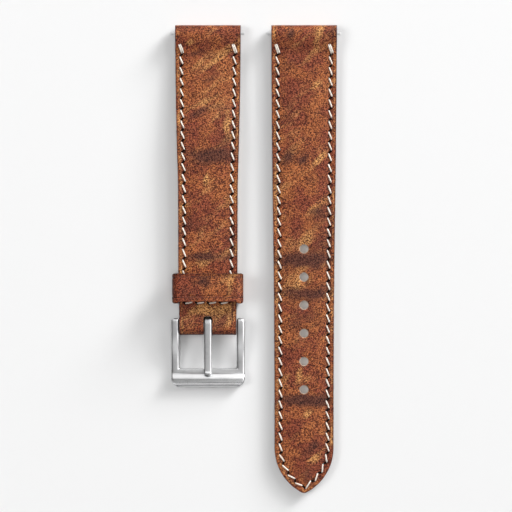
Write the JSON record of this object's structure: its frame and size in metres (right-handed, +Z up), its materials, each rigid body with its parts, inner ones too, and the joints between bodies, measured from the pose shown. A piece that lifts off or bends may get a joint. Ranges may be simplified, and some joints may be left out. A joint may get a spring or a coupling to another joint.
{
  "type": "watch strap",
  "caption": "Two-piece leather watch strap with contrast saddle stitching, a sliding keeper, a pin buckle and sprung bars at the lug ends and the buckle.",
  "frame": {"origin": "bottom centre of the box round both halves, on the surface that they lie on", "axes": "X runs across the straps, +Y points to the lug ends, +Z is up out of the grain side"},
  "size_m": [0.0414, 0.1144, 0.0067],
  "materials": {
    "leather_upper": "mottled cognac brown, waxed, fine grain",
    "leather_lining": "smooth tan lining",
    "filler_board": "pressed leather board",
    "tape": "woven reinforcing tape",
    "thread": "waxed off-white twisted thread",
    "steel_buckle": "satin steel with polished edges",
    "steel_bar": "turned stainless steel",
    "spring_wire": "drawn spring wire"
  },
  "bodies": {
    "buckle_half": {"short_upper_leather": "leather_upper", "short_lining_leather": "leather_lining", "short_filler_board": "filler_board", "short_reinforcement_tape": "tape", "short_stitching_left": "thread", "short_stitching_right": "thread", "short_cross_stitching": "thread"},
    "long_half": {"long_upper_leather": "leather_upper", "long_lining_leather": "leather_lining", "long_filler_board": "filler_board", "long_reinforcement_tape": "tape", "long_stitching": "thread"},
    "keeper": {"keeper_loop": "leather_upper"},
    "buckle_frame_body": {"buckle_frame": "steel_buckle"},
    "buckle_tongue_body": {"buckle_tongue": "steel_buckle"},
    "short_lug_bar": {"short_lug_bar_tube": "steel_bar", "short_lug_bar_spring": "spring_wire"},
    "short_lug_bar_tip_left_body": {"short_lug_bar_tip_left": "steel_bar"},
    "short_lug_bar_tip_right_body": {"short_lug_bar_tip_right": "steel_bar"},
    "long_lug_bar": {"long_lug_bar_tube": "steel_bar", "long_lug_bar_spring": "spring_wire"},
    "long_lug_bar_tip_left_body": {"long_lug_bar_tip_left": "steel_bar"},
    "long_lug_bar_tip_right_body": {"long_lug_bar_tip_right": "steel_bar"},
    "buckle_bar": {"buckle_bar_tube": "steel_bar", "buckle_bar_spring": "spring_wire"},
    "buckle_bar_tip_left_body": {"buckle_bar_tip_left": "steel_bar"},
    "buckle_bar_tip_right_body": {"buckle_bar_tip_right": "steel_bar"}
  },
  "joints": [
    {"name": "long_half_lift_off", "type": "slide", "parent": "buckle_half", "child": "long_half", "axis": [0, 0, 1], "range_m": [0, 0.03]},
    {"name": "keeper_slide", "type": "slide", "parent": "buckle_half", "child": "keeper", "axis": [0, 1, 0], "range_m": [-0.0015, 0.025]},
    {"name": "buckle_frame_swing", "type": "hinge", "parent": "buckle_half", "child": "buckle_frame_body", "pos_m": [-0.0117, -0.01615, 0.00275], "axis": [-1, 0, 0], "range_deg": [-60, 25]},
    {"name": "buckle_tongue_swing", "type": "hinge", "parent": "buckle_frame_body", "child": "buckle_tongue_body", "pos_m": [-0.0117, -0.01615, 0.00275], "axis": [-1, 0, 0], "range_deg": [0, 80]},
    {"name": "short_lug_bar_turn", "type": "hinge", "parent": "buckle_half", "child": "short_lug_bar", "pos_m": [-0.0117, 0.0552, 0.0018], "axis": [1, 0, 0], "continuous": true},
    {"name": "short_lug_bar_tip_left_push", "type": "slide", "parent": "short_lug_bar", "child": "short_lug_bar_tip_left_body", "axis": [1, 0, 0], "range_m": [0, 0.001], "stiffness_N_per_m": 1500, "springref_m": -0.001, "deforming": ["short_lug_bar_spring"]},
    {"name": "short_lug_bar_tip_right_push", "type": "slide", "parent": "short_lug_bar", "child": "short_lug_bar_tip_right_body", "axis": [-1, 0, 0], "range_m": [0, 0.001], "stiffness_N_per_m": 1500, "springref_m": -0.001},
    {"name": "long_lug_bar_turn", "type": "hinge", "parent": "long_half", "child": "long_lug_bar", "pos_m": [0.0118, 0.0552, 0.0018], "axis": [1, 0, 0], "continuous": true},
    {"name": "long_lug_bar_tip_left_push", "type": "slide", "parent": "long_lug_bar", "child": "long_lug_bar_tip_left_body", "axis": [1, 0, 0], "range_m": [0, 0.001], "stiffness_N_per_m": 1500, "springref_m": -0.001, "deforming": ["long_lug_bar_spring"]},
    {"name": "long_lug_bar_tip_right_push", "type": "slide", "parent": "long_lug_bar", "child": "long_lug_bar_tip_right_body", "axis": [-1, 0, 0], "range_m": [0, 0.001], "stiffness_N_per_m": 1500, "springref_m": -0.001},
    {"name": "buckle_bar_turn", "type": "hinge", "parent": "buckle_half", "child": "buckle_bar", "pos_m": [-0.0117, -0.01615, 0.00275], "axis": [1, 0, 0], "continuous": true},
    {"name": "buckle_bar_tip_left_push", "type": "slide", "parent": "buckle_bar", "child": "buckle_bar_tip_left_body", "axis": [1, 0, 0], "range_m": [0, 0.001], "stiffness_N_per_m": 1500, "springref_m": -0.001, "deforming": ["buckle_bar_spring"]},
    {"name": "buckle_bar_tip_right_push", "type": "slide", "parent": "buckle_bar", "child": "buckle_bar_tip_right_body", "axis": [-1, 0, 0], "range_m": [0, 0.001], "stiffness_N_per_m": 1500, "springref_m": -0.001}
  ]
}
